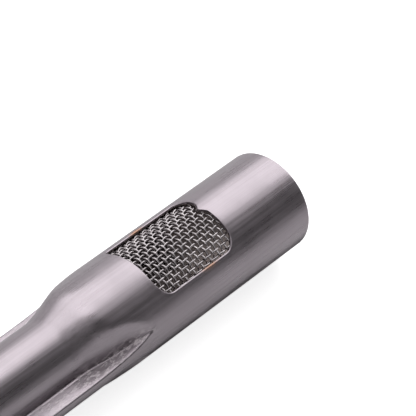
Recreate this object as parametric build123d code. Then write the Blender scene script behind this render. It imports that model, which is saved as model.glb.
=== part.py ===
from build123d import *
import math
import os

# Stainless gas burner tube with a screened air inlet, in millimetres.
# X runs along the tube and points out of the inlet mouth, whose centre is the origin.
# Z points out through the middle of the air window.

# Tube: 1 inch welded stainless tube, 20 gauge.
tube_outer_radius = 12.7
tube_wall = 0.9
tube_length = 400.0
mouth_wall = 0.7  # wall left where the mouth is sized for the gas orifice
mouth_bore_length = 20.0
mouth_cone_length = 1.0

# Air window, cut down through the top of the tube.
window_start = 25.0  # distance from the mouth to the window's near end
window_length = 26.2
window_width = 17.6
window_corner_radius = 3.2
tooth_height = 1.4  # small point left in the near end of the window, on the tube's seam
tooth_width = 4.1
tooth_offset = 2.6

# Venturi crimp: the tube is squeezed to an oval throat and leaves a folded fin on each side.
crimp_start = 55.0  # distance from the mouth to the first mark of the crimp
crimp_entry_length = 23.0
throat_length = 28.0
throat_side_press = 4.35
throat_crown_press = 2.5
crimp_turn = 7.3  # degrees that the crimp is turned from Z towards Y
fin_width = 3.2
fin_drop = 1.7  # how far the fins lie below the tube's axis
fin_flare = 4.2  # how much the fin's half width grows at either end of the crimp
fin_flare_length = 6.5  # distance over which the flare falls to a third
fin_overrun = 5.0  # how far the fin's band runs on past the crimp
fin_points = 40
# Stations along the entry: share of its length, of the side press and of the crown press,
# and how square the section is (2 is an ellipse).
crimp_stations = [
    (-0.20, -0.40, -0.70, 4.0),
    (0.00, 0.00, -0.58, 4.0),
    (0.31, 0.54, -0.36, 3.9),
    (0.52, 0.71, -0.06, 3.6),
    (0.70, 0.87, 0.26, 3.1),
    (0.85, 0.97, 0.64, 2.6),
    (1.00, 1.00, 1.0, 2.25),
]
section_points = 32

# Gas ports: one row of holes on each side.
port_diameter = 1.8
port_pitch = 8.0
port_margin = 20.0  # from the last hole to the closed end
port_lead = 12.0  # from the crimp's end to the first hole

# Insect screen: woven wire cloth rolled into an open sleeve inside the window.
wire_diameter = 0.45
mesh_pitch = 1.41
screen_clearance = 0.03
weave_gap = 0.02
screen_overlap = 2.8  # length of the sleeve past each end of the window
screen_wrap = 300.0  # degrees of the tube's wall that the sleeve covers
selvage = 1.0  # degrees that the cross wires run on past the last long wire

# End plug: a shallow stamped cup pressed into the closed end.
plug_clearance = 0.05
plug_wall = 1.0
plug_depth = 8.0
plug_edge_radius = 0.8

# Rear tab: a bent strip welded to the plug, with a hole for the grill's screw or pin.
tab_width = 16.0
tab_wall = 1.5
tab_reach = 22.0
tab_rise = 19.0
tab_bend_radius = 1.5
tab_corner_radius = 4.0
tab_hole_diameter = 5.5
tab_hole_setback = 9.0  # from the tab's free end to the hole's centre

# Weld beads.
tack_radius = 1.2
tack_inset = 1.3  # from the tube's outside to the tack's centre
tack_angles = [0.0, 90.0, -90.0]  # from Z towards Y
tab_bead_radius = 1.4
tab_bead_length = 11.0

tube_inner_radius = tube_outer_radius - tube_wall
mouth_bore_radius = tube_outer_radius - mouth_wall
crimp_throat_start = crimp_start + crimp_entry_length
crimp_throat_end = crimp_throat_start + throat_length
crimp_end = crimp_throat_end + crimp_entry_length
screen_start = window_start - screen_overlap
screen_end = window_start + window_length + screen_overlap
long_wire_radius = tube_inner_radius - screen_clearance - wire_diameter / 2
cross_wire_radius = long_wire_radius - wire_diameter - weave_gap


def rod(radius, start, end):
    """A round bar on the tube's axis between two distances from the mouth."""
    plane = Plane(origin=(-end, 0, 0), z_dir=(1, 0, 0))
    return extrude(plane * Circle(radius), end - start)


def crimp_plane(distance):
    """The tube's cross-section at a distance from the mouth, turned as the crimp is."""
    turn = math.radians(crimp_turn)
    across = (0, math.cos(turn), -math.sin(turn))
    return Plane(origin=(-distance, 0, 0), x_dir=across, z_dir=(1, 0, 0))


def squeezed_face(distance, half_width, half_height, squareness):
    """A rounded-off rectangle: |y/half_width|^n + |z/half_height|^n = 1, n being the squareness."""
    points = []
    for index in range(section_points):
        angle = 2 * math.pi * index / section_points
        side = abs(math.cos(angle) / half_width) ** squareness
        rise = abs(math.sin(angle) / half_height) ** squareness
        radius = (side + rise) ** (-1 / squareness)
        points.append((radius * math.cos(angle), radius * math.sin(angle)))
    return crimp_plane(distance) * make_face(Spline(*points, periodic=True))


def squeezed_core(inset):
    """The oval core of the crimp, entry, throat and exit, its surface moved in by inset."""
    sections = []
    for along, side, crown, squareness in crimp_stations:
        sections.append(squeezed_face(
            crimp_start + along * crimp_entry_length,
            tube_outer_radius - side * throat_side_press - inset,
            tube_outer_radius - crown * throat_crown_press - inset,
            squareness))
    entry = loft(sections)
    throat = extrude(sections[-1], throat_length, dir=(-1, 0, 0))
    middle = -(crimp_throat_start + crimp_throat_end) / 2
    leaving = mirror(entry, about=Plane(origin=(middle, 0, 0), z_dir=(1, 0, 0)))
    return entry + throat + leaving


def fin_band(inset):
    """The band through both fins that the crimp leaves alone; it flares towards its ends."""
    middle = -(crimp_throat_start + crimp_throat_end) / 2
    half_crimp = throat_length / 2 + crimp_entry_length
    half_length = half_crimp + fin_overrun
    upper, lower = [], []
    for index in range(fin_points + 1):
        along = half_length * (2 * index / fin_points - 1)
        from_end = half_crimp - abs(along)
        half = fin_width / 2 + fin_flare * math.exp(-from_end / fin_flare_length) - inset
        upper.append((along, half - fin_drop))
        lower.append((along, -half - fin_drop))
    outline = [Spline(*upper), Line(upper[-1], lower[-1]), Spline(*lower), Line(lower[0], upper[0])]
    turn = math.radians(crimp_turn)
    side = (0, -math.cos(turn), math.sin(turn))
    place = Plane(origin=(middle, 0, 0), x_dir=(1, 0, 0), z_dir=side)
    return extrude(place * make_face(outline), 2 * tube_outer_radius, both=True)


def crimp_cutter(inset):
    """What the crimp takes off a round bar: all but the core and the fins' band."""
    first, last = crimp_stations[0][0], 1.0
    reach = (last - first) * crimp_entry_length
    length = throat_length + 2 * reach
    middle = (crimp_throat_start + crimp_throat_end) / 2
    size = 3 * tube_outer_radius
    block = crimp_plane(middle) * Box(size, size, length)
    return block - squeezed_core(inset) - fin_band(inset)


def window_cutter():
    """The window's outline, with the small tooth left on its near end, as a tall prism."""
    middle = -(window_start + window_length / 2)
    outline = Pos(middle, 0) * RectangleRounded(window_length, window_width, window_corner_radius)
    low, high = tooth_offset - tooth_width / 2, tooth_offset + tooth_width / 2
    tip = (-window_start - tooth_height, tooth_offset)
    tooth = make_face(Polyline((-window_start, low), tip, (-window_start, high), close=True))
    return extrude(outline - tooth, 2 * tube_outer_radius)


def port_cutters():
    """One pin across the whole tube for each pair of gas ports."""
    first, last = crimp_end + port_lead, tube_length - port_margin
    count = int((last - first) // port_pitch) + 1
    pins = []
    for index in range(count):
        distance = first + index * port_pitch
        pin = Cylinder(port_diameter / 2, 3 * tube_outer_radius)
        pins.append(Pos(-distance, 0, 0) * Rot(90, 0, 0) * pin)
    return pins


def burner_tube():
    outside = rod(tube_outer_radius, 0, tube_length) - crimp_cutter(0)
    inside = rod(tube_inner_radius, 0, tube_length) - crimp_cutter(tube_wall)
    mouth = rod(mouth_bore_radius, 0, mouth_bore_length)
    cone_place = Plane(origin=(-mouth_bore_length, 0, 0), z_dir=(-1, 0, 0))
    cone = loft([cone_place * Circle(mouth_bore_radius),
                 cone_place.offset(mouth_cone_length) * Circle(tube_inner_radius)])
    return outside - inside - mouth - cone - window_cutter() - port_cutters()


def long_wires():
    """Straight wires along the tube, evenly spaced round the sleeve."""
    step = math.degrees(mesh_pitch / long_wire_radius)
    count = int(screen_wrap // step) + 1
    wires = []
    for index in range(count):
        angle = (index - (count - 1) / 2) * step
        wire = rod(wire_diameter / 2, screen_start, screen_end)
        wires.append(Rot(angle, 0, 0) * Pos(0, 0, long_wire_radius) * wire)
    return wires, (count - 1) * step


def cross_wires(covered):
    """Open rings inside the long wires, evenly spaced along the sleeve."""
    count = int((screen_end - screen_start - wire_diameter) // mesh_pitch) + 1
    middle = (screen_start + screen_end) / 2
    wires = []
    for index in range(count):
        distance = middle + (index - (count - 1) / 2) * mesh_pitch
        place = Plane(origin=(-distance, 0, cross_wire_radius), z_dir=(0, 1, 0))
        section = place * Circle(wire_diameter / 2)
        arc = covered + 2 * selvage
        wires.append(Rot(-arc / 2, 0, 0) * revolve(section, Axis.X, arc))
    return wires


def end_plug():
    radius = tube_inner_radius - plug_clearance
    cup = rod(radius, tube_length - plug_depth, tube_length)
    rim = cup.edges().filter_by(GeomType.CIRCLE).sort_by(Axis.X)[0]
    cup = fillet(rim, plug_edge_radius)
    return cup - rod(radius - plug_wall, tube_length - plug_depth, tube_length - plug_wall)


def rear_tab():
    """An L-shaped strip: one leg up the plug's face, one leg level with the tube's underside."""
    face = -tube_length
    floor = -tube_outer_radius
    back = face - tab_reach
    strip = make_face(Polyline(
        (face, floor), (face, floor + tab_rise), (face - tab_wall, floor + tab_rise),
        (face - tab_wall, floor + tab_wall), (back, floor + tab_wall), (back, floor), close=True))
    outer = strip.vertices().sort_by_distance((face, floor, 0))[0]
    strip = fillet(outer, tab_bend_radius + tab_wall)
    inner = strip.vertices().sort_by_distance((face - tab_wall, floor + tab_wall, 0))[0]
    strip = fillet(inner, tab_bend_radius)
    tab = extrude(Plane.XZ * strip, tab_width / 2, both=True)
    corners = tab.edges().filter_by(Axis.Z).group_by(Axis.X)[0]
    tops = tab.edges().filter_by(Axis.X).group_by(Axis.Z)[-1]
    tab = fillet(corners + tops, tab_corner_radius)
    hole_x = back + tab_hole_setback
    return tab - Pos(hole_x, 0, floor) * Cylinder(tab_hole_diameter / 2, 4 * tab_wall)


def tack_welds():
    """Half-round tacks over the joint between the plug and the tube's end."""
    domes = []
    for angle in tack_angles:
        place = Rot(-angle, 0, 0) * Pos(-tube_length, 0, tube_outer_radius - tack_inset)
        size = 4 * tube_outer_radius
        keep = Pos(-tube_length - tack_radius, 0, 0) * Box(2 * tack_radius, size, size)
        domes.append((place * Sphere(tack_radius)) & keep)
    return domes


def tab_welds():
    """A quarter-round bead down each side of the tab's upright leg."""
    low = -tube_outer_radius + tab_bend_radius + 2 * tab_wall
    beads = []
    for side in (1, -1):
        bar = Pos(-tube_length, side * tab_width / 2, low + tab_bead_length / 2) * Cylinder(
            tab_bead_radius, tab_bead_length)
        keep = Pos(-tube_length - tab_bead_radius, side * (tab_width / 2 + tab_bead_radius), 0) * Box(
            2 * tab_bead_radius, 2 * tab_bead_radius, 4 * tube_outer_radius)
        beads.append(bar & keep)
    return beads


def save(name, pieces):
    """Write one named piece, or a group of separate alike solids, to its own file."""
    solids = []
    for piece in pieces:
        solids += piece.solids()
    shape = solids[0] if len(solids) == 1 else Compound(children=solids)
    shape.label = name
    export_step(shape, f"parts/{name}.step")
    print(name, len(solids), "solids", round(sum(solid.volume for solid in solids), 2), "mm3")


os.makedirs("parts", exist_ok=True)
wires_along, covered_angle = long_wires()
save("burner_tube", [burner_tube()])
save("screen_long_wires", wires_along)
save("screen_cross_wires", cross_wires(covered_angle))
save("end_plug", [end_plug()])
save("rear_tab", [rear_tab()])
save("plug_tack_welds", tack_welds())
save("tab_weld_beads", tab_welds())
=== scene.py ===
import math
import bmesh
import bpy
import numpy as np
from mathutils import Matrix, Vector


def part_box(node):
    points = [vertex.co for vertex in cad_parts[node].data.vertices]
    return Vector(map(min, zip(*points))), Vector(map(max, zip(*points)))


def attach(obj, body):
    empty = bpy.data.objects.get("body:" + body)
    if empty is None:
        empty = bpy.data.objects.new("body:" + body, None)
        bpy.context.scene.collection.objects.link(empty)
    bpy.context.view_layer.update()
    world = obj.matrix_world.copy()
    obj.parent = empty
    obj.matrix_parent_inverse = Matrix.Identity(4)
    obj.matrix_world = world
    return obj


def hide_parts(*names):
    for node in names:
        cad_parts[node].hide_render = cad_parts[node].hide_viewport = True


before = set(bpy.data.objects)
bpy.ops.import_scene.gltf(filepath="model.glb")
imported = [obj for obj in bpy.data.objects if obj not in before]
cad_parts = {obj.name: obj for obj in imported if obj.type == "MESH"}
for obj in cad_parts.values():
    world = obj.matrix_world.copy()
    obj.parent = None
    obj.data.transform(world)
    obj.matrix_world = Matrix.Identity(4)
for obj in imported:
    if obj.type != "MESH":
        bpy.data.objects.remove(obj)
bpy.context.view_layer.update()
mm = 0.001
print("frame loaded, nodes:", ", ".join(sorted(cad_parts)))


def boxOf(node):
    # a node's lowest and highest corners, in millimetres
    return [[round(value / mm, 4) for value in corner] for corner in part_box(node)]


def gridFaces(rows, columns, closed=False):
    # quads between neighbouring rows and columns; closed joins the last column to the first
    row = np.arange(rows - 1)[:, None]
    column = np.arange(columns if closed else columns - 1)[None, :]
    beside = (column + 1) % columns
    quads = (row * columns + column, row * columns + beside,
             (row + 1) * columns + beside, (row + 1) * columns + column)
    return np.stack(np.broadcast_arrays(*quads), -1).reshape(-1, 4)


def smoothStep(value, low, high):
    # 0 below low, 1 above high, with a cubic ease between
    share = np.clip((value - low) / (high - low), 0, 1)
    return share * share * (3 - 2 * share)


def smoothTrack(where, stations, values):
    # cubic curve through the stations, its slope at each one taken from its neighbours
    slopes = np.gradient(values, stations)
    where = np.clip(where, stations[0], stations[-1])
    cell = np.clip(np.searchsorted(stations, where, side="right") - 1, 0, len(stations) - 2)
    width = stations[cell + 1] - stations[cell]
    t = (where - stations[cell]) / width
    ease = t * t * (3 - 2 * t)
    fromSlopes = t * (1 - t) * ((1 - t) * slopes[cell] - t * slopes[cell + 1]) * width
    return (1 - ease) * values[cell] + ease * values[cell + 1] + fromSlopes


def meshPiece(name, points, faces, sharpAngle, wear=None, joinGap=None):
    # points in millimetres; points nearer to each other than joinGap become one
    mesh = bpy.data.meshes.new(name)
    mesh.from_pydata((points * mm).tolist(), [], faces)
    if wear is not None:
        mesh.attributes.new("wear", "FLOAT", "POINT").data.foreach_set("value", wear.astype(np.float32))
    work = bmesh.new()
    work.from_mesh(mesh)
    if joinGap:
        bmesh.ops.remove_doubles(work, verts=work.verts, dist=joinGap * mm)
        bmesh.ops.dissolve_degenerate(work, edges=work.edges, dist=joinGap * mm * 0.1)
    bmesh.ops.recalc_face_normals(work, faces=work.faces)
    openEdges = sum(1 for edge in work.edges if len(edge.link_faces) != 2)
    work.to_mesh(mesh)
    work.free()
    mesh.polygons.foreach_set("use_smooth", np.ones(len(mesh.polygons), bool))
    mesh.set_sharp_from_angle(angle=math.radians(sharpAngle))
    piece = bpy.data.objects.new(name, mesh)
    bpy.context.collection.objects.link(piece)
    print(name, "faces", len(mesh.polygons), "open edges", openEdges)
    return piece


class Patches:
    # collects grids of points, in millimetres, and turns them into one closed mesh
    def __init__(self):
        self.points, self.faces, self.marks, self.count = [], [], [], 0

    def add(self, grid, closed=False, mark=0.0):
        rows, columns = grid.shape[:2]
        self.points.append(grid.reshape(-1, 3))
        self.faces.append(gridFaces(rows, columns, closed) + self.count)
        self.marks.append(np.broadcast_to(mark, (rows, columns)).reshape(-1))
        self.count += rows * columns

    def build(self, name, sharpAngle):
        return meshPiece(name, np.concatenate(self.points), np.concatenate(self.faces).tolist(), sharpAngle,
                         np.concatenate(self.marks), joinGap=0.004)


def finishPiece(piece, node, material):
    piece.data.materials.clear()
    piece.data.materials.append(material)
    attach(piece, "root")
    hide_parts(node)


class Nodes:
    # a short way to add and join shader nodes, all of them worked out from object coordinates
    def __init__(self, name):
        self.material = bpy.data.materials.new(name)
        self.material.use_nodes = True
        self.tree = self.material.node_tree
        self.tree.nodes.clear()
        self.shader = self.tree.nodes.new("ShaderNodeBsdfPrincipled")
        output = self.tree.nodes.new("ShaderNodeOutputMaterial")
        self.tree.links.new(self.shader.outputs[0], output.inputs[0])
        self.place = self.tree.nodes.new("ShaderNodeTexCoord").outputs["Object"]

    def join(self, source, socket):
        if isinstance(source, (int, float, tuple)):
            socket.default_value = source
        else:
            self.tree.links.new(source, socket)

    def noise(self, scale, detail, roughness=0.55):
        # scale is a vector: spots per metre along each axis
        stretch = self.tree.nodes.new("ShaderNodeMapping")
        stretch.inputs["Scale"].default_value = scale
        self.join(self.place, stretch.inputs["Vector"])
        node = self.tree.nodes.new("ShaderNodeTexNoise")
        self.join(stretch.outputs[0], node.inputs["Vector"])
        node.inputs["Scale"].default_value = 1.0
        node.inputs["Detail"].default_value = detail
        node.inputs["Roughness"].default_value = roughness
        return node.outputs["Fac"]

    def calc(self, operation, first, second=0.0):
        node = self.tree.nodes.new("ShaderNodeMath")
        node.operation = operation
        self.join(first, node.inputs[0])
        self.join(second, node.inputs[1])
        return node.outputs[0]

    def blend(self, *parts):
        # parts are (source, weight): their weighted sum
        total = self.calc("MULTIPLY", *parts[0])
        for part in parts[1:]:
            total = self.calc("ADD", total, self.calc("MULTIPLY", *part))
        return total

    def span(self, source, low, high, outLow=0.0, outHigh=1.0):
        node = self.tree.nodes.new("ShaderNodeMapRange")
        node.interpolation_type = "SMOOTHSTEP"
        for key, value in zip(("Value", "From Min", "From Max", "To Min", "To Max"),
                              (source, low, high, outLow, outHigh)):
            self.join(value, node.inputs[key])
        return node.outputs["Result"]

    def mix(self, share, first, second):
        node = self.tree.nodes.new("ShaderNodeMix")
        node.data_type = "RGBA"
        self.join(share, node.inputs["Factor"])
        self.join(first, node.inputs["A"])
        self.join(second, node.inputs["B"])
        return node.outputs["Result"]

    def attribute(self, name):
        node = self.tree.nodes.new("ShaderNodeAttribute")
        node.attribute_name = name
        return node.outputs["Fac"]

    def axes(self):
        node = self.tree.nodes.new("ShaderNodeSeparateXYZ")
        self.join(self.place, node.inputs[0])
        return node.outputs

    def bump(self, height, strength, distance):
        node = self.tree.nodes.new("ShaderNodeBump")
        node.inputs["Strength"].default_value = strength
        node.inputs["Distance"].default_value = distance
        self.join(height, node.inputs["Height"])
        self.join(node.outputs[0], self.shader.inputs["Normal"])


tubeFinish = {
    "light": (0.400, 0.358, 0.388, 1.0),
    "dark": (0.335, 0.299, 0.323, 1.0),
    "stain": (0.235, 0.200, 0.212, 1.0),
    "tint": (0.470, 0.255, 0.150, 1.0),
    "scuff": (0.860, 0.810, 0.825, 1.0),
    "shadedBore": (0.265, 0.228, 0.217, 1.0),
    "boreRadius": 12.05 * mm,
    "boreEnd": -53.0 * mm,  # the painted shade and dullness inside the tube stop here, where the crimp begins
    "roughness": (0.26, 0.42),
    "heatRoughness": 0.15,  # added where each of these is full
    "dragRoughness": 0.45,
    "boreRoughness": 0.25,
    "stainScale": (9, 160, 160),  # spots per metre along each axis
    "streakScale": (22, 1300, 1300),
    "fineScale": (60, 5200, 5200),
    "blotchScale": (95, 95, 95),
    "speckScale": (650, 1100, 1100),
    "stainShare": 0.25,
    "seamTurn": 12.0,  # degrees from Z towards Y
    "seamWidth": 0.5 * mm,
    "seamShare": 0.22,
    "tintShare": 0.9,
    "dragShare": 0.8,
    "bumpDepth": 0.06 * mm,
}


def tubeMaterial():
    look = Nodes("brushedTube")
    broad = look.noise(tubeFinish["stainScale"], 3)
    streak = look.noise(tubeFinish["streakScale"], 4, 0.6)
    fine = look.noise(tubeFinish["fineScale"], 2, 0.6)
    blotch = look.noise(tubeFinish["blotchScale"], 4, 0.6)
    grain = look.blend((streak, 0.6), (fine, 0.4))
    base = look.mix(look.span(grain, 0.36, 0.64), tubeFinish["dark"], tubeFinish["light"])
    base = look.mix(look.span(broad, 0.52, 0.78, 0, tubeFinish["stainShare"]), base, tubeFinish["stain"])
    # the tube's own weld seam is a faint straight line along its upper side
    x, y, z = look.axes()
    turn = math.radians(tubeFinish["seamTurn"])
    side = look.calc("SUBTRACT", look.calc("MULTIPLY", y, math.cos(turn)),
                     look.calc("MULTIPLY", z, math.sin(turn)))
    nearSeam = look.span(look.calc("ABSOLUTE", side), tubeFinish["seamWidth"], 0.0)
    seam = look.calc("MULTIPLY", nearSeam, look.span(z, 0.0, 4 * mm))
    base = look.mix(look.calc("MULTIPLY", seam, tubeFinish["seamShare"]), base, tubeFinish["stain"])
    # straw and brown heat colour where the screen was spot welded
    heat = look.calc("MULTIPLY", look.attribute("heatColour"), look.span(blotch, 0.30, 0.62, 0.65, 1.0))
    base = look.mix(look.span(heat, 0.05, 0.95, 0, tubeFinish["tintShare"]), base, tubeFinish["tint"])
    # bright galling where the die dragged over the edges of the crimp
    speck = look.noise(tubeFinish["speckScale"], 3, 0.7)
    drag = look.calc("MULTIPLY", look.attribute("wear"), look.span(speck, 0.50, 0.58))
    base = look.mix(look.calc("MULTIPLY", drag, tubeFinish["dragShare"]), base, tubeFinish["scuff"])
    # inside the tube the colour is darkened as painted shade, and the surface is duller
    reach = look.calc("SQRT", look.calc("ADD", look.calc("MULTIPLY", y, y), look.calc("MULTIPLY", z, z)))
    shadedBore = look.span(reach, tubeFinish["boreRadius"] + 0.1 * mm, tubeFinish["boreRadius"])
    shadedBore = look.calc("MULTIPLY", shadedBore, look.span(x, tubeFinish["boreEnd"], tubeFinish["boreEnd"] + 1 * mm))
    base = look.mix(shadedBore, base, tubeFinish["shadedBore"])
    look.join(base, look.shader.inputs["Base Color"])
    look.shader.inputs["Metallic"].default_value = 1.0
    rough = look.span(look.blend((grain, 0.6), (blotch, 0.4)), 0.38, 0.64, *tubeFinish["roughness"])
    for cover, added in ((heat, "heatRoughness"), (drag, "dragRoughness"), (shadedBore, "boreRoughness")):
        rough = look.calc("ADD", rough, look.calc("MULTIPLY", cover, tubeFinish[added]))
    look.join(rough, look.shader.inputs["Roughness"])
    look.bump(look.blend((grain, 0.35), (drag, 5.0), (blotch, 0.6)), 0.35, tubeFinish["bumpDepth"])
    return look.material


steels = {
    "drawnWire": {"light": (0.62, 0.58, 0.59, 1.0), "dark": (0.40, 0.37, 0.38, 1.0), "roughness": 0.17,
                  "grainScale": (900, 900, 900), "bumpDepth": 0.01 * mm},
    "pressedPlug": {"light": (0.40, 0.37, 0.38, 1.0), "dark": (0.29, 0.26, 0.27, 1.0), "roughness": 0.34,
                    "grainScale": (700, 260, 260), "bumpDepth": 0.03 * mm},
    "shearedStrip": {"light": (0.42, 0.39, 0.40, 1.0), "dark": (0.30, 0.27, 0.28, 1.0), "roughness": 0.32,
                     "grainScale": (60, 1500, 1500), "bumpDepth": 0.04 * mm},
    "weldBead": {"light": (0.52, 0.46, 0.40, 1.0), "dark": (0.26, 0.22, 0.20, 1.0), "roughness": 0.34,
                 "grainScale": (1100, 1100, 1100), "bumpDepth": 0.05 * mm, "tint": (0.36, 0.20, 0.12, 1.0)},
}


def plainSteel(name):
    # steel with a grain stretched by its grain scale and, where it has a tint, uneven heat colour
    finish = steels[name]
    look = Nodes(name)
    grain = look.noise(finish["grainScale"], 4, 0.6)
    cloud = look.noise((150, 150, 150), 3, 0.6)
    base = look.mix(look.span(grain, 0.35, 0.65), finish["dark"], finish["light"])
    if "tint" in finish:
        base = look.mix(look.span(cloud, 0.45, 0.68, 0, 0.8), base, finish["tint"])
    look.join(base, look.shader.inputs["Base Color"])
    look.shader.inputs["Metallic"].default_value = 1.0
    rough = look.span(cloud, 0.3, 0.7, finish["roughness"], finish["roughness"] + 0.16)
    look.join(rough, look.shader.inputs["Roughness"])
    look.bump(look.calc("ADD", grain, look.calc("MULTIPLY", cloud, 0.6)), 0.35, finish["bumpDepth"])
    return look.material


tubeSteel = tubeMaterial()
wireSteel = plainSteel("drawnWire")
plugSteel = plainSteel("pressedPlug")
tabSteel = plainSteel("shearedStrip")
weldSteel = plainSteel("weldBead")
print("materials ready")

# the tube is one sheet bent round, with a window, a crimp, gas ports and two cut ends
tubeLow, tubeHigh = boxOf("burner_tube")
tube = {
    "radius": tubeHigh[1],
    "end": tubeLow[0],
    "wall": 0.9,
    "mouthWall": 0.7,
    "mouthEnd": 20.0,  # how far the thinner wall goes in
    # profiles of the two cut ends: x from the end, depth as a share of the wall
    "mouth": ((-16, 0), (-9, 0), (-4, 0), (-1, 0), (-0.3, 0), (-0.1, 0.04), (0, 0.2), (0, 0.8),
              (-0.1, 0.97), (-0.3, 1), (-1, 1), (-5, 1), (-12, 1), (-20, 1), (-21, 1)),
    "rear": ((0.8, 0), (0.25, 0), (0.06, 0.05), (0, 0.2), (0, 0.8), (0.06, 0.96), (0.3, 1)),
}
crimp = {
    "turn": math.radians(7.3),  # the crimp is turned this far from Z towards Y
    "throatMiddle": 92.0,  # distances from the mouth
    "throatHalf": 14.0,
    "entry": 23.0,
    "sidePress": 4.35,
    "crownPress": 2.5,
    "finCentre": -1.7,
    "finHalf": 1.6,
    "finFlare": 4.2,  # how much the fin's half width grows where the crimp fades out
    "finFlareLength": 6.5,
    "finUnder": 0.65,  # share of that flare which is missing on the fin's lower side
    "finMargin": 0.07,  # radians of plain ring kept beside the widest fin
    "crestRound": 0.5,
    "valleyRound": 0.55,
    "roundLimit": 64.0,  # how sharply the section turns into the round tube
    "easeIn": 4.5,  # length over which the plain ring turns into the crimped outline
    "entryRows": 36,
    "throatRows": 9,
    "throatFrom": 79.0,  # from here to its mirror image the rows are wider apart
    "corePoints": 38,  # along each half of the core
    "cornerPoints": 4,  # round each corner of a fin
    "dragSpread": 3.2,  # reach of the drag marks beside a corner, in points of the outline
    "entryDrag": (54, 58),  # the marks grow between these two, and fade to the share between the next two
    "entryDragFade": (70, 82),
    "entryDragLeft": 0.35,
    "exitDrag": (102, 112),
    "exitDragFade": (125, 131),
}
# share of the entry, share of the side press and of the crown press, squareness of the section
crimpStations = np.array([
    (-0.20, -0.40, -0.70, 4.0),
    (0.00, 0.00, -0.58, 4.0),
    (0.31, 0.54, -0.36, 3.9),
    (0.52, 0.71, -0.06, 3.6),
    (0.70, 0.87, 0.26, 3.1),
    (0.85, 0.97, 0.64, 2.6),
    (1.00, 1.00, 1.0, 2.25),
])


def distanceFromEnd(distance):
    # how far inside the crimp's nearer end a distance from the mouth lies
    return crimp["throatHalf"] + crimp["entry"] - np.abs(distance - crimp["throatMiddle"])


def crimpShape(distance):
    # half width, half height and squareness of the core at a distance from the mouth
    share = np.clip(distanceFromEnd(distance) / crimp["entry"], crimpStations[0, 0], 1.0)
    side, crown, square = (smoothTrack(share, crimpStations[:, 0], crimpStations[:, i]) for i in (1, 2, 3))
    return tube["radius"] - side * crimp["sidePress"], tube["radius"] - crown * crimp["crownPress"], square


def coreRadius(angle, shape, inset):
    # polar radius of |y/a|^n + |z/b|^n = 1, softly limited to the round tube
    width, height, square = shape
    width, height = width - inset, height - inset
    powers = np.abs(np.cos(angle) / width) ** square + np.abs(np.sin(angle) / height) ** square
    flat = powers ** (1 / square)
    limit = crimp["roundLimit"]
    return (flat ** limit + (tube["radius"] - inset) ** -limit) ** (-1 / limit)


def corePoint(angle, shape, inset):
    # the point of the core's outline at an angle from the crimp's side axis
    radius = coreRadius(angle, shape, inset)
    return np.stack([radius * np.cos(angle), radius * np.sin(angle)], -1)


def finHalf(distance):
    # half the fin's width: it flares where the crimp fades out towards either end
    fade = np.exp(-np.maximum(distanceFromEnd(distance), -2) / crimp["finFlareLength"])
    return crimp["finHalf"] + crimp["finFlare"] * fade


def corner(before, tip, after):
    # a parabola from before to after that heads for the tip
    t = np.linspace(0, 1, crimp["cornerPoints"])[None, :, None]
    return (1 - t) ** 2 * before[:, None] + 2 * t * (1 - t) * tip[:, None] + t ** 2 * after[:, None]


def crimpSection(distance, inset):
    # one closed outline per distance, as angle and radius: upper core, left fin, lower core, right fin
    shape = crimpShape(distance)
    outer = tube["radius"] - inset
    half = finHalf(distance) - inset
    under = half - crimp["finUnder"] * (finHalf(distance) - crimp["finHalf"])
    levels = (crimp["finCentre"] + half, crimp["finCentre"] - under)
    valleys = []
    for level in levels:
        angle = level / outer
        for _ in range(8):
            angle = np.arcsin(level / coreRadius(angle, shape, inset))
        valleys.append(angle)
    crest = [np.stack([np.sqrt(outer ** 2 - level ** 2), level], -1) for level in levels]
    depth = np.maximum(crest[0][:, 0] - corePoint(valleys[0], shape, inset)[:, 0], 1e-4)
    valleyRound = np.minimum(crimp["valleyRound"], 0.45 * depth)
    crestRound = np.minimum(np.minimum(crimp["crestRound"], 0.45 * depth), 0.9 * half)
    outward = np.array([1.0, 0.0])

    def halfFin(valley, tip, sign):
        # from the core, round the valley, out along the flank and over the crest's corner
        root = corePoint(valley, shape, inset)
        start = corePoint(valley + sign * valleyRound / outer, shape, inset)
        flankStart = root + valleyRound[:, None] * outward
        flankEnd = tip - crestRound[:, None] * outward
        topAngle = np.arctan2(tip[:, 1], tip[:, 0]) - sign * crestRound / outer
        top = outer * np.stack([np.cos(topAngle), np.sin(topAngle)], -1)
        flank = (flankStart + flankEnd)[:, None] / 2
        return np.concatenate([corner(start, root, flankStart), flank, corner(flankEnd, tip, top)], 1)

    upper = halfFin(valleys[0], crest[0], 1)
    lower = halfFin(valleys[1], crest[1], -1)
    middleAngle = crimp["finCentre"] / outer
    middle = outer * np.array([math.cos(middleAngle), math.sin(middleAngle)])
    middle = np.broadcast_to(middle, (len(distance), 1, 2))
    rightFin = np.concatenate([lower, middle, upper[:, ::-1]], 1)
    leftFin = rightFin[:, ::-1] * np.array([-1.0, 1.0])
    firstUp = (valleys[0] + valleyRound / outer)[:, None]
    firstDown = (valleys[1] - valleyRound / outer)[:, None]
    shape = tuple(part[:, None] for part in shape)
    upperCore = corePoint(firstUp + (math.pi - 2 * firstUp) * coreShare, shape, inset)
    lowerCore = corePoint(math.pi - firstDown + (math.pi + 2 * firstDown) * coreShare, shape, inset)
    outline = np.concatenate([upperCore, leftFin, lowerCore, rightFin], 1)
    angle = np.unwrap(np.arctan2(outline[..., 1], outline[..., 0]), axis=1)
    return angle, np.hypot(outline[..., 0], outline[..., 1])


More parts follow.
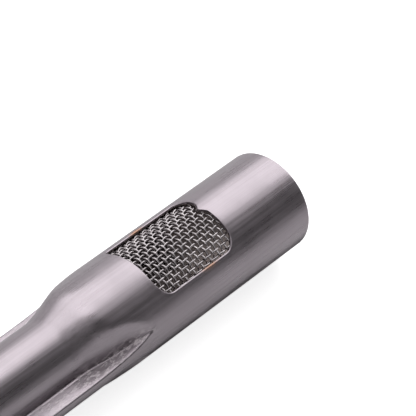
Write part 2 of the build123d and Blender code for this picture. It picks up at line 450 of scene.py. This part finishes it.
# angles of the same outline where the tube is plain and round, from the crimp's side axis
finCount = 4 * crimp["cornerPoints"] + 3
finWidest = crimp["finHalf"] + crimp["finFlare"]
finLow = math.asin((crimp["finCentre"] - finWidest) / tube["radius"]) - crimp["finMargin"]
finHigh = math.asin((crimp["finCentre"] + finWidest) / tube["radius"]) + crimp["finMargin"]
coreShare = np.linspace(0, 1, crimp["corePoints"] + 2)[1:-1]
ringAngle = np.concatenate([
    finHigh + (math.pi - 2 * finHigh) * coreShare,
    np.linspace(math.pi - finHigh, math.pi - finLow, finCount),
    math.pi - finLow + (math.pi + 2 * finLow) * coreShare,
    np.linspace(2 * math.pi + finLow, 2 * math.pi + finHigh, finCount),
])
# the same angles measured from Z towards Y, which fall along the outline
ring = math.pi / 2 + crimp["turn"] - ringAngle


def wallAt(x):
    # thickness of the wall: thinner where the mouth is sized, then a short cone to the full wall
    return tube["mouthWall"] + (tube["wall"] - tube["mouthWall"]) * np.clip(-x - tube["mouthEnd"], 0, 1)


def bend(x, angle, depth):
    # a point of the sheet: x along the tube, angle from Z towards Y, depth as a share of the wall
    radius = tube["radius"] - depth * wallAt(x)
    x, radius, angle = np.broadcast_arrays(x, radius, angle)
    return np.stack([x, radius * np.sin(angle), radius * np.cos(angle)], -1)


def ringBand(patches, rows):
    # rows is a list of (x, depth): a profile carried round the tube
    x, depth = (np.array(part, float)[:, None] for part in zip(*rows))
    patches.add(bend(x, ring[None, :], depth), True)


def holedPanel(patches, holeX, holeAngle, panelX, panelAngle, rows, roll=1.0):
    # sheet between a hole's outline and the panel's edge: each row is (step in mm, share, depth), and the
    # smaller of the step and that share of the way is used; roll scales the depth of the outer rounding
    step, share, depth = (np.array(part, float)[:, None] for part in zip(*rows))
    depth = depth * np.where(depth < 0.7, roll, 1.0)
    radius = tube["radius"] - np.clip(depth, 0, 1) * tube["wall"]
    holeAt = holeAngle(radius)
    reach = np.hypot(panelX - holeX, tube["radius"] * (panelAngle - holeAt))
    along = np.minimum(step / reach, share)
    patches.add(bend(holeX + (panelX - holeX) * along, holeAt + (panelAngle - holeAt) * along, depth), True)


def panelLoop(xs, angles):
    # the panel's rectangular edge, once round, with the given points on its sides
    loopX = np.concatenate([np.full(len(angles) - 1, xs[0]), xs[:-1],
                            np.full(len(angles) - 1, xs[-1]), xs[:0:-1]])
    loopAngle = np.concatenate([angles[:-1], np.full(len(xs) - 1, angles[-1]),
                                angles[:0:-1], np.full(len(xs) - 1, angles[0])])
    return loopX, loopAngle


def ringSlice(low, high):
    # the run of ring points nearest to low and high: its angles, its numbers and those of the way round
    turns = (ring - low + 1e-9) % (2 * math.pi) + low
    first = int(np.argmin(np.abs(turns - high)))
    last = int(np.argmin(np.abs((ring - low + math.pi) % (2 * math.pi) - math.pi)))
    order = np.arange(first, first + (last - first) % len(ring) + 1) % len(ring)
    rest = np.arange(last, last + (first - last) % len(ring) + 1) % len(ring)
    return turns[first] - (turns[first] - turns[order]) % (2 * math.pi), order, rest


toEdge = 99.0  # a step longer than any panel
window = {
    "start": 25.0,
    "length": 26.2,
    "halfWidth": 8.8,
    # the corners, a quarter turn apart: towards the mouth or away, towards +Y or -Y, radius
    "corners": ((1, 1, 3.2), (-1, 1, 1.2), (-1, -1, 4.3), (1, -1, 3.4)),
    "toothHeight": 1.4,
    "toothHalf": 2.05,
    "toothMiddle": 2.6,
    "toothHollow": 1.35,  # above 1, the tooth's flanks are hollow
    "rollStart": 6.5,  # distance from the window's middle at which the rolled edge begins
    "endRoll": 0.12,  # share of the roll that the two ends keep
    "panel": (22.5, 53.2),  # distances from the mouth
    "panelRows": 43,
    "panelHalf": math.radians(60),
    "raySpread": 0.72,  # spreads the panel's points evenly along the outline
    # the edge's profile, from the panel's outer edge over the rounding to its inner edge
    "edge": ((toEdge, 1.0, 0), (toEdge, 0.7, 0), (1.8, 0.45, 0), (1.1, 0.36, 0), (0.72, 0.27, 0.035),
             (0.4, 0.18, 0.15), (0.2, 0.1, 0.28), (0.07, 0.05, 0.44), (0.015, 0.02, 0.57), (0, 0, 0.65),
             (0, 0, 0.88), (0.05, 0.05, 0.97), (0.16, 0.1, 1), (0.6, 0.3, 1), (toEdge, 0.6, 1),
             (toEdge, 1.0, 1)),
}


def windowOutline(directionX, directionY):
    # where rays from the window's middle meet its rounded outline, tooth included
    halfLength, halfWidth = window["length"] / 2, window["halfWidth"]
    turn = np.linspace(0, math.pi / 2, 40)
    arcs = []
    for quarter, (signX, signY, radius) in enumerate(window["corners"]):
        middleX, middleY = signX * (halfLength - radius), signY * (halfWidth - radius)
        sweep = turn + quarter * math.pi / 2
        arcs.append(np.stack([middleX + radius * np.cos(sweep), middleY + radius * np.sin(sweep)], -1))
    # straight runs from the end of each arc to the start of the next: +Y side, far end, -Y side, near end
    share = np.linspace(0, 1, 90)[1:-1, None]
    runs = [arcs[i][-1] * (1 - share) + arcs[(i + 1) % 4][0] * share for i in range(4)]
    nearEnd = runs.pop()
    # the tooth's two flanks are hollow curves that meet in a soft point
    away = np.abs(nearEnd[:, 1] - window["toothMiddle"]) / window["toothHalf"]
    nearEnd[:, 0] -= window["toothHeight"] * np.clip(1 - away, 0, 1) ** window["toothHollow"]
    outline = np.concatenate(arcs + runs + [nearEnd])
    angle = np.arctan2(outline[:, 1], outline[:, 0])
    order = np.argsort(angle)
    reach = np.interp(np.arctan2(directionY, directionX), angle[order], np.hypot(*outline[order].T),
                      period=2 * math.pi)
    length = np.hypot(directionX, directionY)
    return reach * directionX / length, reach * directionY / length


def windowZone(patches):
    # the window's panel, and the plain back of the tube beside it
    xs = -np.linspace(*window["panel"], window["panelRows"])
    angles, _, rest = ringSlice(-window["panelHalf"], window["panelHalf"])
    panelX, panelAngle = panelLoop(xs, angles)
    middle = -(window["start"] + window["length"] / 2)
    rayY = tube["radius"] * window["raySpread"] * np.sin(panelAngle)
    holeX, holeY = windowOutline(panelX - middle, rayY)
    # the punch rolled the two long edges over and left the ends sharp
    onSide = smoothStep(np.abs(holeY), window["rollStart"], window["halfWidth"])[None, :]
    roll = window["endRoll"] + (1 - window["endRoll"]) * onSide
    holedPanel(patches, middle + holeX, lambda radius: np.arcsin(holeY / radius),
               panelX, panelAngle, window["edge"], roll)
    for depth in (0, 1):
        patches.add(bend(xs[:, None], ring[rest][None, :], depth))


def crimpZone(patches, distances):
    # both skins of the crimp: the plain ring turns into the crimped outline over the first few millimetres
    fromEnd = np.minimum(distances - distances[0], distances[-1] - distances)
    share = smoothStep(fromEnd, 0, crimp["easeIn"])[:, None]
    # the die's drag marks lie along the fins' four corners, on the entry and on the exit
    atCorner = np.zeros(len(ring))
    halfCorner = crimp["cornerPoints"] / 2
    for start in (crimp["corePoints"], 2 * crimp["corePoints"] + finCount):
        for edge in (start + halfCorner, start + finCount - 1 - halfCorner):
            atCorner += np.exp(-((np.arange(len(ring)) - edge) / crimp["dragSpread"]) ** 2)
    faded = (1 - crimp["entryDragLeft"]) * smoothStep(distances, *crimp["entryDragFade"])
    onEntry = smoothStep(distances, *crimp["entryDrag"]) * (1 - faded)
    onExit = smoothStep(distances, *crimp["exitDrag"]) * (1 - smoothStep(distances, *crimp["exitDragFade"]))
    drag = np.clip(atCorner, 0, 1) * (onEntry + onExit)[:, None]
    for inset in (0, tube["wall"]):
        angle, radius = crimpSection(distances, inset)
        angle = ringAngle + (angle - ringAngle) * share
        radius = (tube["radius"] - inset) * (1 - share) + radius * share
        turned = math.pi / 2 + crimp["turn"] - angle
        x = np.broadcast_to(-distances[:, None], radius.shape)
        patches.add(np.stack([x, radius * np.sin(turned), radius * np.cos(turned)], -1), True, drag)


ports = {
    "radius": 0.9,
    "pitch": 8.0,
    "first": 141.0,  # distances from the mouth
    "last": 380.0,
    "panelHalf": math.radians(12),
    "panelSteps": 3,
    "edge": ((toEdge, 1, 0), (toEdge, 0.55, 0), (0.45, 0.3, 0), (0.12, 0.1, 0.01), (0, 0, 0.12),
             (0, 0, 0.88), (0.12, 0.1, 0.99), (0.5, 0.4, 1), (toEdge, 1, 1)),
}


def portZone(patches, cells):
    # two rows of holes: each sits in its own panel, and plain strips fill the rest
    bands = []
    for facing in (math.pi / 2, -math.pi / 2):
        angles, order, _ = ringSlice(facing - ports["panelHalf"], facing + ports["panelHalf"])
        bands.append((facing, angles, order))
    steps = ports["panelSteps"]
    for facing, angles, order in bands:
        for start, end in zip(cells, cells[1:]):
            middle = (start + end) / 2
            panelX, panelAngle = panelLoop(np.linspace(start, end, steps + 1), angles)
            acrossX, acrossZ = panelX - middle, tube["radius"] * np.sin(panelAngle - facing)
            length = np.hypot(acrossX, acrossZ)
            holeX = middle + ports["radius"] * acrossX / length
            holeZ = ports["radius"] * acrossZ / length
            holedPanel(patches, holeX, lambda radius: facing + np.arcsin(holeZ / radius),
                       panelX, panelAngle, ports["edge"])
    xs = np.linspace(cells[0], cells[-1], (len(cells) - 1) * steps + 1)
    for (_, _, first), (_, _, second) in (bands, bands[::-1]):
        gap = np.arange(first[-1], first[-1] + (second[0] - first[-1]) % len(ring) + 1) % len(ring)
        for depth in (0, 1):
            patches.add(bend(xs[:, None], ring[gap][None, :], depth))


spotWelds = {
    "radius": 12.2,
    # x, angle from Z in degrees, how far the heat colour spreads along and around, its strength
    "spots": ((-34.5, -44, 3.2, 1.2, 0.9), (-40.0, 45, 2.4, 1.2, 0.8),
              (-28.6, -40, 1.6, 1.0, 0.5), (-47.5, 40, 1.6, 1.0, 0.4)),
}


def addHeatColour(mesh):
    # each spot weld leaves a patch that fades as exp(-distance squared), with its own reach each way
    points = np.empty(len(mesh.vertices) * 3, np.float32)
    mesh.vertices.foreach_get("co", points)
    x, y, z = points.reshape(-1, 3).T / mm
    angle = np.arctan2(y, z)
    heat = np.zeros_like(x)
    for spotX, spotAngle, along, around, strength in spotWelds["spots"]:
        offX = (x - spotX) / along
        offAngle = spotWelds["radius"] * (angle - math.radians(spotAngle)) / around
        heat = np.maximum(heat, strength * np.exp(-offX ** 2 - offAngle ** 2))
    mesh.attributes.new("heatColour", "FLOAT", "POINT").data.foreach_set("value", heat.astype(np.float32))


def buildTube():
    patches = Patches()
    panelStart, panelEnd = window["panel"]
    ringBand(patches, [(-panelStart, 0), *tube["mouth"], (-panelStart, 1)])
    windowZone(patches)
    entry = np.linspace(panelEnd, crimp["throatFrom"], crimp["entryRows"])
    exitCone = 2 * crimp["throatMiddle"] - entry[::-1]
    throat = np.linspace(entry[-1], exitCone[0], crimp["throatRows"])[1:-1]
    crimpZone(patches, np.concatenate([entry, throat, exitCone]))
    firstCell = -ports["first"] + ports["pitch"] / 2
    cellCount = int((ports["last"] - ports["first"]) // ports["pitch"]) + 1
    cells = firstCell - ports["pitch"] * np.arange(cellCount + 1)
    for depth in (0, 1):
        ringBand(patches, [(x, depth) for x in (-exitCone[-1], (firstCell - exitCone[-1]) / 2, firstCell)])
    portZone(patches, cells)
    halfway = (cells[-1] + tube["end"]) / 2
    rear = [(tube["end"] + x, depth) for x, depth in tube["rear"]]
    ringBand(patches, [(cells[-1], 0), (halfway, 0), *rear, (halfway, 1), (cells[-1], 1)])
    piece = patches.build("burnerTube", sharpAngle=38)
    addHeatColour(piece.data)
    finishPiece(piece, "burner_tube", tubeSteel)


buildTube()
print("tube built")

# the insect screen is plain woven wire cloth, rolled and slightly askew
cloth = {
    "wire": 0.225,  # wire radius
    "pitchAlong": 1.45,
    "pitchAround": 1.41,
    "length": 30.4,
    "wrap": 59.0,
    "middle": -38.0,
    "radius": 11.28,
    "offCentre": 0.02,  # towards the -Y side
    "lean": 1.6,
    "twist": 0.052,
    "rise": 0.236,  # how far a wire swings to either side of the cloth's middle
    "overhang": 0.5,  # wire past the last crossing's cell, at each end
    "stations": 6,  # points along a wire for each crossing
    "sides": 7,
    "stray": 0.035,  # spread of each wire's place
    "seed": 18,
}


def clothPoint(along, around, rise):
    # cloth coordinates to space: around is wrapped on the sleeve, leaning rings are shifted along x
    angle = around / cloth["radius"] + cloth["twist"] * along / cloth["radius"]
    x = cloth["middle"] + along - cloth["lean"] * np.sin(angle)
    radius = cloth["radius"] - cloth["offCentre"] * np.sin(angle) + rise
    return np.stack([x, radius * np.sin(angle), radius * np.cos(angle)], -1)


def wireMesh(name, centre):
    # every wire at once: a ring of points set square to the wire at each station along it, and two end caps
    sides = cloth["sides"]
    ahead = np.gradient(centre, axis=1)
    ahead /= np.linalg.norm(ahead, axis=-1, keepdims=True)
    outward = centre * np.array([0.0, 1.0, 1.0])
    outward -= (outward * ahead).sum(-1, keepdims=True) * ahead
    outward /= np.linalg.norm(outward, axis=-1, keepdims=True)
    sideways = np.cross(ahead, outward)
    turn = np.linspace(0, 2 * math.pi, sides, endpoint=False)[:, None]
    offset = np.cos(turn) * outward[:, :, None, :] + np.sin(turn) * sideways[:, :, None, :]
    rings = centre[:, :, None, :] + cloth["wire"] * offset
    wires, stations = centre.shape[:2]
    starts = np.arange(wires)[:, None] * stations * sides
    faces = (gridFaces(stations, sides, True)[None] + starts[:, :, None]).reshape(-1, 4).tolist()
    faces += (starts + np.arange(sides)[None, ::-1]).tolist()
    faces += (starts + (stations - 1) * sides + np.arange(sides)[None]).tolist()
    return meshPiece(name, rings.reshape(-1, 3), faces, sharpAngle=60)


def wireRun(length, crossings):
    # stations along a wire that is a little longer than the cloth
    half = length / 2 + cloth["overhang"]
    return np.linspace(-half, half, cloth["stations"] * crossings + 1)[None]


def weave(run, firstCrossing, pitch, wires):
    # height over the cloth's middle: a cosine of the distance along, turned over on every second wire
    sign = np.where(np.arange(wires) % 2, -1.0, 1.0)[:, None]
    return sign * cloth["rise"] * np.cos(math.pi * (run - firstCrossing) / pitch)


def buildScreen():
    countAround = int(cloth["wrap"] // cloth["pitchAround"]) + 1
    countAlong = int(cloth["length"] // cloth["pitchAlong"]) + 1
    around = (np.arange(countAround) - (countAround - 1) / 2) * cloth["pitchAround"]
    along = (np.arange(countAlong) - (countAlong - 1) / 2) * cloth["pitchAlong"]
    random = np.random.default_rng(cloth["seed"])
    strayAround = random.normal(0, cloth["stray"], countAround)
    strayAlong = random.normal(0, cloth["stray"], countAlong)
    run = wireRun(cloth["length"], countAlong)
    wave = weave(run, along[0], cloth["pitchAlong"], countAround)
    longCentre = clothPoint(run, (around + strayAround)[:, None] + 0 * run, wave)
    # a cross wire goes under where a long wire goes over
    run = wireRun(cloth["wrap"], countAround)
    wave = -weave(run, around[0], cloth["pitchAround"], countAlong)
    crossCentre = clothPoint((along + strayAlong)[:, None] + 0 * run, run, wave)
    finishPiece(wireMesh("screenLongWires", longCentre), "screen_long_wires", wireSteel)
    finishPiece(wireMesh("screenCrossWires", crossCentre), "screen_cross_wires", wireSteel)


buildScreen()
print("screen woven")

# welds are rippled beads in place of the plain ones
bead = {
    "radius": 1.372,
    "ripples": 9,
    "rippleDepth": 0.09,
    "rippleLean": 0.03,  # how far the ripples swing along the bead, as a share of its length
    "endSquareness": 8,
    "tabHalf": boxOf("rear_tab")[1][1],
}
tack = {
    "radius": 1.2,
    "place": 11.4,  # distance of each tack's middle from the tube's axis
    "facings": (0, math.pi / 2, -math.pi / 2),
    "height": 1.05,
    "flatness": 2.2,
    "rings": 9.5,  # half waves of the rings frozen into the dome
    "ringDepth": 0.07,
    "wobble": 0.03,
}


def beadSurface(low, high, side):
    # a quarter-round bead whose radius rises and falls in ripples and eases to nothing at both ends
    span = np.linspace(0, 1, 73)[:, None]
    turn = np.linspace(0, math.pi / 2, 9)[None, :]
    ends = np.sqrt(np.clip(1 - (2 * span - 1) ** bead["endSquareness"], 0, 1))
    phase = 2 * math.pi * bead["ripples"] * (span + bead["rippleLean"] * np.sin(3 * turn))
    radius = bead["radius"] * ends * (1 - bead["rippleDepth"] * (0.5 + 0.5 * np.cos(phase)))
    x = tube["end"] - radius * np.sin(turn)
    y = side * (bead["tabHalf"] + radius * np.cos(turn))
    z = low + (high - low) * span + 0 * turn
    skin = np.stack(np.broadcast_arrays(x, y, z), -1)
    root = np.stack(np.broadcast_arrays(tube["end"], side * bead["tabHalf"], z[:, :1]), -1)
    return np.concatenate([skin, root], 1)


def tackSurface(facing):
    # a flattened dome with rings frozen into it, closed by a flat foot
    reach = np.append(np.linspace(0, 1, 15), 0)[:, None]
    turn = np.linspace(0, 2 * math.pi, 32, endpoint=False)[None, :]
    rings = 1 - tack["ringDepth"] * (0.5 + 0.5 * np.cos(tack["rings"] * math.pi * reach))
    height = tack["height"] * np.sqrt(np.clip(1 - reach ** tack["flatness"], 0, 1)) * rings
    height[-1] = 0
    radius = tack["radius"] * reach * (1 - tack["wobble"] + tack["wobble"] * np.sin(3 * turn + facing))
    outward = tack["place"] + radius * np.cos(turn)
    sideways = radius * np.sin(turn)
    x = tube["end"] - height
    y = outward * math.sin(facing) + sideways * math.cos(facing)
    z = outward * math.cos(facing) - sideways * math.sin(facing)
    return np.stack(np.broadcast_arrays(x, y, z), -1)


def buildWelds():
    beadLow, beadHigh = boxOf("tab_weld_beads")
    patches = Patches()
    for side in (1, -1):
        patches.add(beadSurface(beadLow[2], beadHigh[2], side), True)
    finishPiece(patches.build("tabWeldBeads", sharpAngle=55), "tab_weld_beads", weldSteel)
    patches = Patches()
    for facing in tack["facings"]:
        patches.add(tackSurface(facing), True)
    finishPiece(patches.build("plugTackWelds", sharpAngle=55), "plug_tack_welds", weldSteel)


buildWelds()
for name, material in (("end_plug", plugSteel), ("rear_tab", tabSteel)):
    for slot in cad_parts[name].material_slots:
        slot.material = material
print("welds, plug and tab finished")

studio = {
    "floor": (0.76, 0.76, 0.76, 1.0),
    "floorCloud": (0.74, 0.74, 0.745, 1.0),
    "floorSeen": (1.0, 1.0, 1.0, 1.0),
    "floorGlow": 0.75,
    "floorShade": (0.03, 0.03, 0.03, 1.0),
    "shadeEdge": (20 * mm, 11 * mm),  # distances from the tube's axis where the painted shadow ends and is full
    "floorLevel": -tube["radius"] * mm,
    "worldLight": (1.0, 0.99, 1.0, 1.0),
    "worldStrength": 0.71,
    "darkSide": (0.13, -0.82, 0.555),  # the direction from which least light comes
    "darkSquash": 0.45,
    "darkSpread": (0.60, 0.95),  # closeness to that direction where the dark begins and is full
    "darkLevel": 0.17,
    # name, place, target, width, height, power
    "softboxes": (("overhead", (0.45, 0.4225, 0.7947), (-0.05, 0, 0), 1.5, 0.96, 6.5),
                  ("frontFill", (-1.1, -0.9, 1.2), (-0.1, 0, 0), 1.0, 1.0, 3)),
    "camera": (-0.42671, -0.22937, 0.47027),
    "right": (0.6396, -0.7458, 0.1865),
    "up": (0.4579, 0.5644, 0.6869),
    "back": (-0.6175, -0.3539, 0.7025),
    "lens": 244.6,
}


def buildFloor():
    # a wide sheet that rises very gently far from the middle
    side = np.linspace(-3, 3, 41)
    x, y = np.meshgrid(side, side)
    z = studio["floorLevel"] + 0.02 * smoothStep(np.hypot(x, y), 1.5, 3.0) ** 2
    mesh = bpy.data.meshes.new("floor")
    mesh.from_pydata(np.stack([x, y, z], -1).reshape(-1, 3).tolist(), [], gridFaces(41, 41).tolist())
    floor = bpy.data.objects.new("floor", mesh)
    bpy.context.collection.objects.link(floor)
    look = Nodes("paleFloor")
    tone = look.mix(look.noise((3, 3, 3), 2), studio["floor"], studio["floorCloud"])
    look.shader.inputs["Roughness"].default_value = 0.9
    look.shader.inputs["Specular IOR Level"].default_value = 0.1
    # seen directly the sheet is white; it throws less light back at the steel, and least from below it,
    # where a strip carries painted shadow that only rays other than the camera's see
    seen = look.tree.nodes.new("ShaderNodeLightPath").outputs["Is Camera Ray"]
    paintedShadow = look.span(look.calc("ABSOLUTE", look.axes()[1]), *studio["shadeEdge"])
    paintedShadow = look.calc("MULTIPLY", paintedShadow, look.calc("SUBTRACT", 1.0, seen))
    look.join(look.mix(paintedShadow, tone, studio["floorShade"]), look.shader.inputs["Base Color"])
    look.join(look.calc("MULTIPLY", seen, studio["floorGlow"]), look.shader.inputs["Emission Strength"])
    look.shader.inputs["Emission Color"].default_value = studio["floorSeen"]
    mesh.materials.append(look.material)


def softbox(name, place, target, width, height, power):
    # a flat light of width by height that faces its target, its width as nearly along X as it can be
    light = bpy.data.lights.new(name, "AREA")
    light.shape = "RECTANGLE"
    light.size = width
    light.size_y = height
    light.energy = power
    lamp = bpy.data.objects.new(name, light)
    bpy.context.collection.objects.link(lamp)
    back = (Vector(place) - Vector(target)).normalized()
    across = back.cross(Vector((1, 0, 0))).normalized()
    turn = Matrix((across.cross(back), across, back)).transposed()
    lamp.matrix_world = Matrix.Translation(place) @ turn.to_4x4()


def buildWorld():
    world = bpy.data.worlds.new("studioWorld")
    bpy.context.scene.world = world
    world.use_nodes = True
    tree = world.node_tree
    tree.nodes.clear()

    def vectorNode(operation, source, second=None):
        node = tree.nodes.new("ShaderNodeVectorMath")
        node.operation = operation
        tree.links.new(source, node.inputs[0])
        if second is not None:
            node.inputs[1].default_value = second
        return node

    # the dark side is stretched along the tube: directions are flattened towards its cross-section first
    place = tree.nodes.new("ShaderNodeTexCoord").outputs["Generated"]
    squash = vectorNode("MULTIPLY", place, (studio["darkSquash"], 1, 1))
    unit = vectorNode("NORMALIZE", squash.outputs[0])
    closeness = vectorNode("DOT_PRODUCT", unit.outputs[0], studio["darkSide"])
    shade = tree.nodes.new("ShaderNodeMapRange")
    shade.interpolation_type = "SMOOTHSTEP"
    for key, value in zip(("From Min", "From Max", "To Min", "To Max"),
                          (*studio["darkSpread"], 1.0, studio["darkLevel"])):
        shade.inputs[key].default_value = value
    tree.links.new(closeness.outputs["Value"], shade.inputs["Value"])
    strength = tree.nodes.new("ShaderNodeMath")
    strength.operation = "MULTIPLY"
    strength.inputs[1].default_value = studio["worldStrength"]
    tree.links.new(shade.outputs["Result"], strength.inputs[0])
    background = tree.nodes.new("ShaderNodeBackground")
    background.inputs["Color"].default_value = studio["worldLight"]
    tree.links.new(strength.outputs[0], background.inputs["Strength"])
    output = tree.nodes.new("ShaderNodeOutputWorld")
    tree.links.new(background.outputs[0], output.inputs[0])


def buildCamera():
    camera = bpy.data.objects.new("camera", bpy.data.cameras.new("camera"))
    camera.data.lens = studio["lens"]
    camera.data.sensor_width = 36
    camera.data.clip_start = 0.01
    camera.data.clip_end = 50
    bpy.context.collection.objects.link(camera)
    turn = Matrix((studio["right"], studio["up"], studio["back"])).transposed()
    camera.matrix_world = Matrix.Translation(studio["camera"]) @ turn.to_4x4()
    bpy.context.scene.camera = camera


buildFloor()
buildWorld()
for softboxRow in studio["softboxes"]:
    softbox(*softboxRow)
buildCamera()
bpy.context.scene.view_settings.view_transform = "Standard"
print("studio ready")
